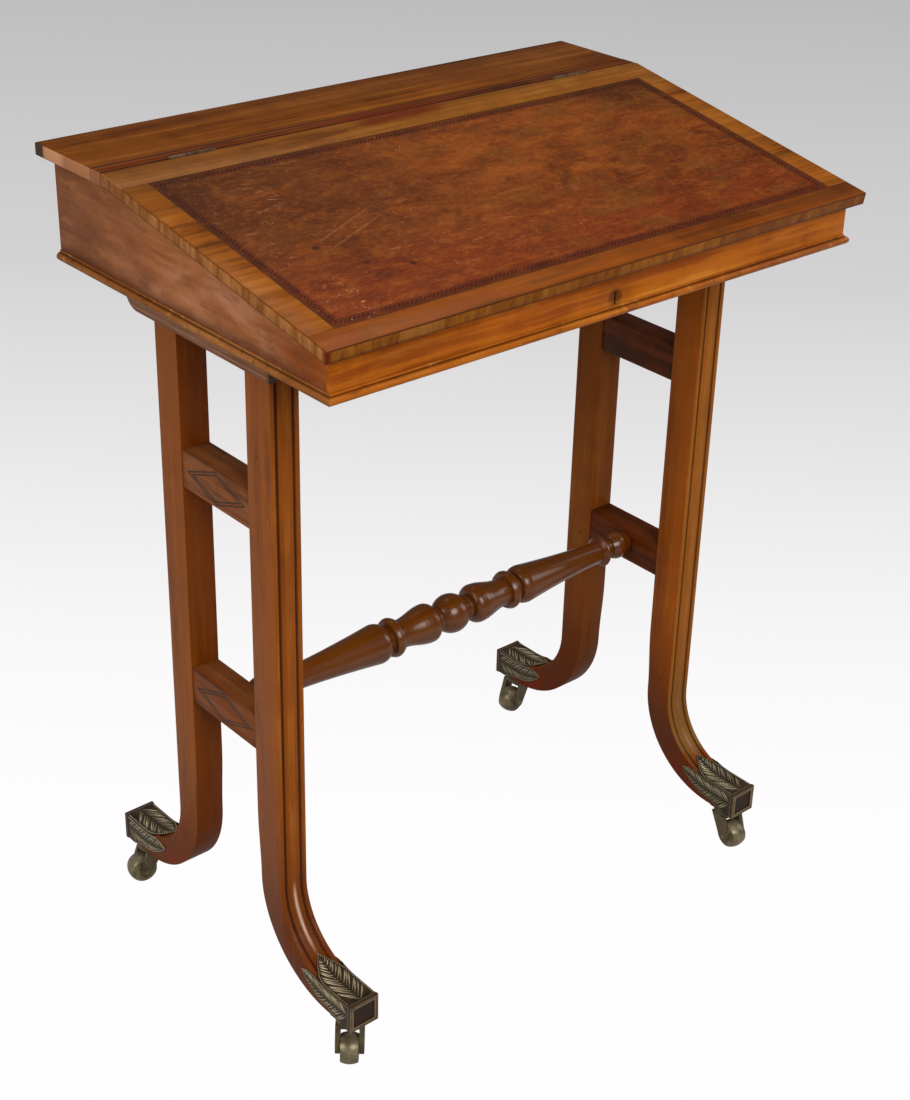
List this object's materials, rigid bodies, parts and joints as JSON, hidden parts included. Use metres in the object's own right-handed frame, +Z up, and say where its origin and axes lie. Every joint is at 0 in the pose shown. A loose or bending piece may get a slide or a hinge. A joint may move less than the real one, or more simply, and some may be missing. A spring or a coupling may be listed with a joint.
{
  "type": "writing desk",
  "caption": "Small writing desk with a hinged sloping lid, inset tooled leather, reeded legs swept out to toes, a turned stretcher and brass castors.",
  "frame": {"origin": "Middle of the whole desk in plan, on the floor under the wheels.", "axes": "+X along the width towards the sitter's right, +Y from the front towards the back, +Z up."},
  "size_m": [0.66, 0.44, 0.845],
  "materials": {
    "case_wood": "satin",
    "front_wood": "satin",
    "top_wood": "satin",
    "bearer_wood": "satin",
    "leg_wood": "satin",
    "stringing": "satin",
    "castor_brass": "satin",
    "wheel_brass": "satin",
    "fitting_brass": "satin",
    "lid_wood": "satin",
    "banding": "satin",
    "writing_leather": "satin",
    "lock_brass": "satin"
  },
  "bodies": {
    "desk": {"case_left_side": "case_wood", "case_right_side": "case_wood", "case_front": "front_wood", "case_back": "case_wood", "case_bottom": "case_wood", "moulding_front": "front_wood", "moulding_left": "case_wood", "moulding_right": "case_wood", "top_board": "top_wood", "hinge_strip": "top_wood", "left_bearer": "bearer_wood", "left_front_leg": "leg_wood", "left_rear_leg": "leg_wood", "left_upper_rail": "leg_wood", "left_lower_rail": "leg_wood", "left_stringing": "stringing", "right_bearer": "bearer_wood", "right_front_leg": "leg_wood", "right_rear_leg": "leg_wood", "right_upper_rail": "leg_wood", "right_lower_rail": "leg_wood", "right_stringing": "stringing", "stretcher": "leg_wood", "front_left_toe_cap": "castor_brass", "front_right_toe_cap": "castor_brass", "rear_left_toe_cap": "castor_brass", "rear_right_toe_cap": "castor_brass", "left_hinge_fixed_leaf": "fitting_brass", "right_hinge_fixed_leaf": "fitting_brass", "hinge_pins": "fitting_brass", "lock_body": "lock_brass", "bearer_screws": "fitting_brass", "fixed_hinge_screws": "fitting_brass", "lock_screws": "lock_brass", "toe_cap_pins": "fitting_brass"},
    "lid": {"lid_panel": "lid_wood", "lid_front_banding": "banding", "lid_rear_banding": "banding", "lid_left_banding": "banding", "lid_right_banding": "banding", "writing_leather": "writing_leather", "left_hinge_lid_leaf": "fitting_brass", "right_hinge_lid_leaf": "fitting_brass", "lid_hinge_screws": "fitting_brass", "lock_link_plate": "lock_brass", "lock_staples": "lock_brass", "link_plate_screws": "fitting_brass"},
    "lock_bolt": {"lock_bolt": "lock_brass"},
    "front_left_castor": {"front_left_fork": "castor_brass", "front_left_axle": "fitting_brass"},
    "front_left_wheel": {"front_left_wheel": "wheel_brass"},
    "front_right_castor": {"front_right_fork": "castor_brass", "front_right_axle": "fitting_brass"},
    "front_right_wheel": {"front_right_wheel": "wheel_brass"},
    "rear_left_castor": {"rear_left_fork": "castor_brass", "rear_left_axle": "fitting_brass"},
    "rear_left_wheel": {"rear_left_wheel": "wheel_brass"},
    "rear_right_castor": {"rear_right_fork": "castor_brass", "rear_right_axle": "fitting_brass"},
    "rear_right_wheel": {"rear_right_wheel": "wheel_brass"}
  },
  "joints": [
    {"name": "lid_hinge", "type": "hinge", "parent": "desk", "child": "lid", "pos_m": [0, 0.1071, 0.843], "axis": [-1, 0, 0], "range_deg": [0, 100]},
    {"name": "lock_bolt_slide", "type": "slide", "parent": "desk", "child": "lock_bolt", "axis": [1, 0, 0], "range_m": [0, 0.005]},
    {"name": "front_left_swivel", "type": "hinge", "parent": "desk", "child": "front_left_castor", "pos_m": [-0.275, -0.1755, 0.05], "axis": [0, 0, 1], "continuous": true},
    {"name": "front_left_roll", "type": "hinge", "parent": "front_left_castor", "child": "front_left_wheel", "pos_m": [-0.28287, -0.18456, 0.016], "axis": [0.7547, -0.6561, 0], "continuous": true},
    {"name": "front_right_swivel", "type": "hinge", "parent": "desk", "child": "front_right_castor", "pos_m": [0.275, -0.1755, 0.05], "axis": [0, 0, 1], "continuous": true},
    {"name": "front_right_roll", "type": "hinge", "parent": "front_right_castor", "child": "front_right_wheel", "pos_m": [0.27375, -0.18743, 0.016], "axis": [0.9945, -0.1045, 0], "continuous": true},
    {"name": "rear_left_swivel", "type": "hinge", "parent": "desk", "child": "rear_left_castor", "pos_m": [-0.275, 0.1855, 0.05], "axis": [0, 0, 1], "continuous": true},
    {"name": "rear_left_roll", "type": "hinge", "parent": "rear_left_castor", "child": "rear_left_wheel", "pos_m": [-0.28678, 0.18779, 0.016], "axis": [-0.1908, -0.9816, 0], "continuous": true},
    {"name": "rear_right_swivel", "type": "hinge", "parent": "desk", "child": "rear_right_castor", "pos_m": [0.275, 0.1855, 0.05], "axis": [0, 0, 1], "continuous": true},
    {"name": "rear_right_roll", "type": "hinge", "parent": "rear_right_castor", "child": "rear_right_wheel", "pos_m": [0.26315, 0.18362, 0.016], "axis": [0.1564, -0.9877, 0], "continuous": true}
  ]
}
